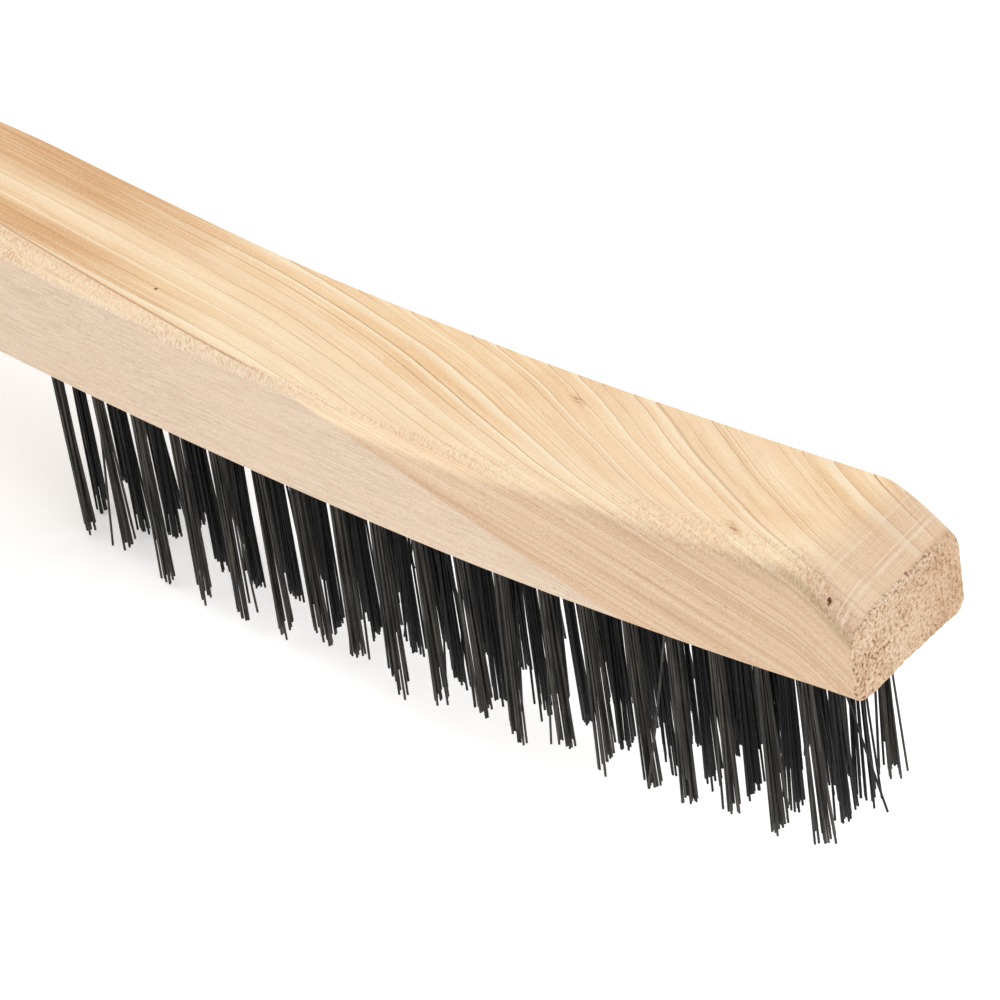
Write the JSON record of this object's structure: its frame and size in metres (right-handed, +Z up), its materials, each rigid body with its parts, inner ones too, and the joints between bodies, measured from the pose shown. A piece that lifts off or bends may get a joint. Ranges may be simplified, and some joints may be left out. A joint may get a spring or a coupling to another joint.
{
  "type": "wire scratch brush",
  "caption": "Hand wire scratch brush with a bowed hardwood handle and parallel lines of straight steel wire tufts, for stripping scale, slag, rust and spatter before and after welding.",
  "frame": {"origin": "on the surface the brush rests on, under the middle of the whole brush", "axes": "+X along the brush towards the nose, +Y across the brush, +Z up; the brush stands nose up on its heel tufts and the end of its handle"},
  "size_m": [0.3466, 0.027, 0.0736],
  "materials": {
    "wood": "raw sanded hardwood, matte",
    "wire": "oil-dark tempered steel wire",
    "anchor": "plain drawn flat steel wire"
  },
  "bodies": {
    "root": {"handle_block": "wood", "tuft_row_01": "wire", "tuft_row_02": "wire", "tuft_row_03": "wire", "tuft_row_04": "wire", "tuft_row_05": "wire", "tuft_row_06": "wire", "tuft_row_07": "wire", "tuft_row_08": "wire", "tuft_row_09": "wire", "tuft_row_10": "wire", "tuft_row_11": "wire", "tuft_row_12": "wire", "tuft_row_13": "wire", "tuft_row_14": "wire", "tuft_row_15": "wire", "tuft_row_16": "wire", "tuft_row_17": "wire", "tuft_row_18": "wire", "tuft_row_19": "wire", "anchor_row_01": "anchor", "anchor_row_02": "anchor", "anchor_row_03": "anchor", "anchor_row_04": "anchor", "anchor_row_05": "anchor", "anchor_row_06": "anchor", "anchor_row_07": "anchor", "anchor_row_08": "anchor", "anchor_row_09": "anchor", "anchor_row_10": "anchor", "anchor_row_11": "anchor", "anchor_row_12": "anchor", "anchor_row_13": "anchor", "anchor_row_14": "anchor", "anchor_row_15": "anchor", "anchor_row_16": "anchor", "anchor_row_17": "anchor", "anchor_row_18": "anchor", "anchor_row_19": "anchor"}
  },
  "joints": []
}
